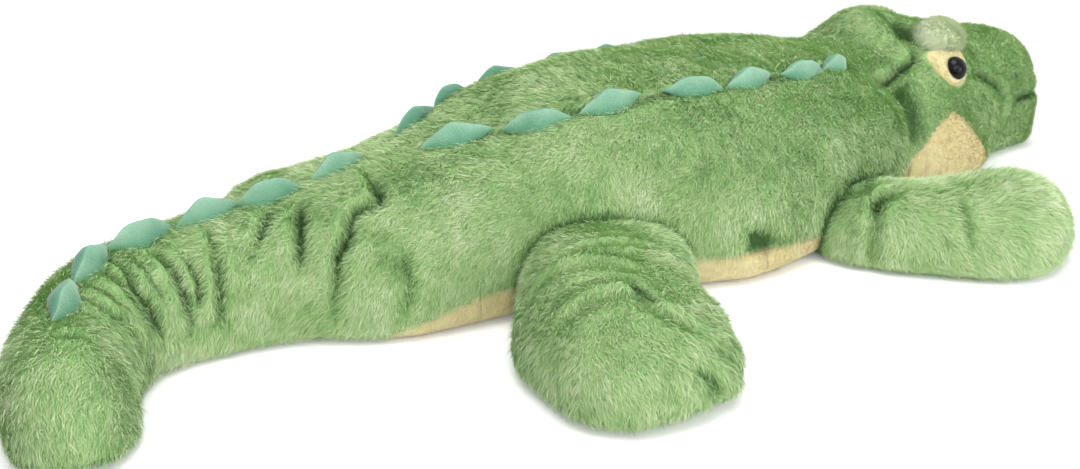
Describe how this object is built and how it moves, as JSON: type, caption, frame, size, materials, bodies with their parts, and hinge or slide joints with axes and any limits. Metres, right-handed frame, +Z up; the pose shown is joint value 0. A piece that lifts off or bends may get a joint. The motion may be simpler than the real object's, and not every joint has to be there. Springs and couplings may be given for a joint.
{
  "type": "plush crocodile",
  "caption": "Stuffed plush crocodile that lies flat on its belly, with a bending tail, a turning and lifting head and legs that swing at the root, for play and display.",
  "frame": {"origin": "on the belly's flat underside, under the middle of the back", "axes": "+X towards the head, +Y towards the crocodile's left side, +Z up"},
  "size_m": [0.7692, 0.4177, 0.1065],
  "materials": {
    "green_plush": "long soft pile, light tips over dark green roots",
    "yellow_plush": "short soft pile",
    "teal_minky": "smooth short nap with a soft sheen",
    "pale_green_plush": "short soft pile",
    "cream_plush": "short soft nap",
    "black_plastic": "polished dome",
    "white_plastic": "moulded washer, hidden inside",
    "stuffing": "loose polyester fibre, hidden inside"
  },
  "bodies": {
    "torso": {"back_gusset": "green_plush", "flank_left": "green_plush", "flank_right": "green_plush", "belly_panel": "yellow_plush", "torso_stuffing": "stuffing", "spike_left_1": "teal_minky", "spike_left_2": "teal_minky", "spike_left_3": "teal_minky", "spike_left_4": "teal_minky", "spike_left_5": "teal_minky", "spike_left_6": "teal_minky", "spike_left_7": "teal_minky", "spike_right_1": "teal_minky", "spike_right_2": "teal_minky", "spike_right_3": "teal_minky", "spike_right_4": "teal_minky", "spike_right_5": "teal_minky", "spike_right_6": "teal_minky", "spike_right_7": "teal_minky", "spike_tail_1": "teal_minky"},
    "tail_root": {"tail_root_plush": "green_plush", "tail_root_stuffing": "stuffing", "spike_tail_2": "teal_minky", "spike_tail_3": "teal_minky"},
    "tail_middle": {"tail_middle_plush": "green_plush", "tail_middle_stuffing": "stuffing", "spike_tail_4": "teal_minky", "spike_tail_5": "teal_minky"},
    "tail_tip": {"tail_tip_plush": "green_plush", "tail_tip_stuffing": "stuffing", "spike_tail_6": "teal_minky"},
    "neck": {"neck_plush": "green_plush", "neck_stuffing": "stuffing"},
    "head": {"head_plush": "green_plush", "throat_panel": "yellow_plush", "head_stuffing": "stuffing", "eyelid_left": "pale_green_plush", "eyelid_right": "pale_green_plush", "eye_patch_left": "cream_plush", "eye_patch_right": "cream_plush", "eye_left": "black_plastic", "eye_right": "black_plastic", "eye_washer_left": "white_plastic", "eye_washer_right": "white_plastic"},
    "hind_leg_left": {"hind_leg_left_plush": "green_plush", "hind_leg_left_stuffing": "stuffing"},
    "hind_leg_right": {"hind_leg_right_plush": "green_plush", "hind_leg_right_stuffing": "stuffing"},
    "foreleg_left": {"foreleg_left_plush": "green_plush", "foreleg_left_stuffing": "stuffing"},
    "foreleg_right": {"foreleg_right_plush": "green_plush", "foreleg_right_stuffing": "stuffing"}
  },
  "joints": [
    {"name": "tail_root_bend", "type": "hinge", "parent": "torso", "child": "tail_root", "pos_m": [-0.20195, 0.00022, 0], "axis": [0, 0, 1], "range_deg": [-25, 25], "stiffness_Nm_per_rad": 0.3},
    {"name": "tail_middle_bend", "type": "hinge", "parent": "tail_root", "child": "tail_middle", "pos_m": [-0.26144, -0.01119, 0], "axis": [0, 0, 1], "range_deg": [-25, 25], "stiffness_Nm_per_rad": 0.25},
    {"name": "tail_tip_bend", "type": "hinge", "parent": "tail_middle", "child": "tail_tip", "pos_m": [-0.29542, -0.05882, 0], "axis": [0, 0, 1], "range_deg": [-25, 25], "stiffness_Nm_per_rad": 0.2},
    {"name": "neck_turn", "type": "hinge", "parent": "torso", "child": "neck", "pos_m": [0.235, 0, 0], "axis": [0, 0, 1], "range_deg": [-20, 20], "stiffness_Nm_per_rad": 0.4},
    {"name": "head_lift", "type": "hinge", "parent": "neck", "child": "head", "pos_m": [0.27994, 0, 0.04904], "axis": [0, -1, 0], "range_deg": [0, 20], "stiffness_Nm_per_rad": 0.4},
    {"name": "hind_leg_left_swing", "type": "hinge", "parent": "torso", "child": "hind_leg_left", "pos_m": [-0.035, 0.093, 0], "axis": [0, 0, -1], "range_deg": [0, 60], "stiffness_Nm_per_rad": 0.3},
    {"name": "hind_leg_right_swing", "type": "hinge", "parent": "torso", "child": "hind_leg_right", "pos_m": [-0.035, -0.093, 0], "axis": [0, 0, 1], "range_deg": [-15, 35], "stiffness_Nm_per_rad": 0.3},
    {"name": "foreleg_left_swing", "type": "hinge", "parent": "torso", "child": "foreleg_left", "pos_m": [0.147, 0.104, 0], "axis": [0, 0, 1], "range_deg": [0, 40], "stiffness_Nm_per_rad": 0.3},
    {"name": "foreleg_right_swing", "type": "hinge", "parent": "torso", "child": "foreleg_right", "pos_m": [0.147, -0.104, 0], "axis": [0, 0, -1], "range_deg": [0, 40], "stiffness_Nm_per_rad": 0.3}
  ]
}
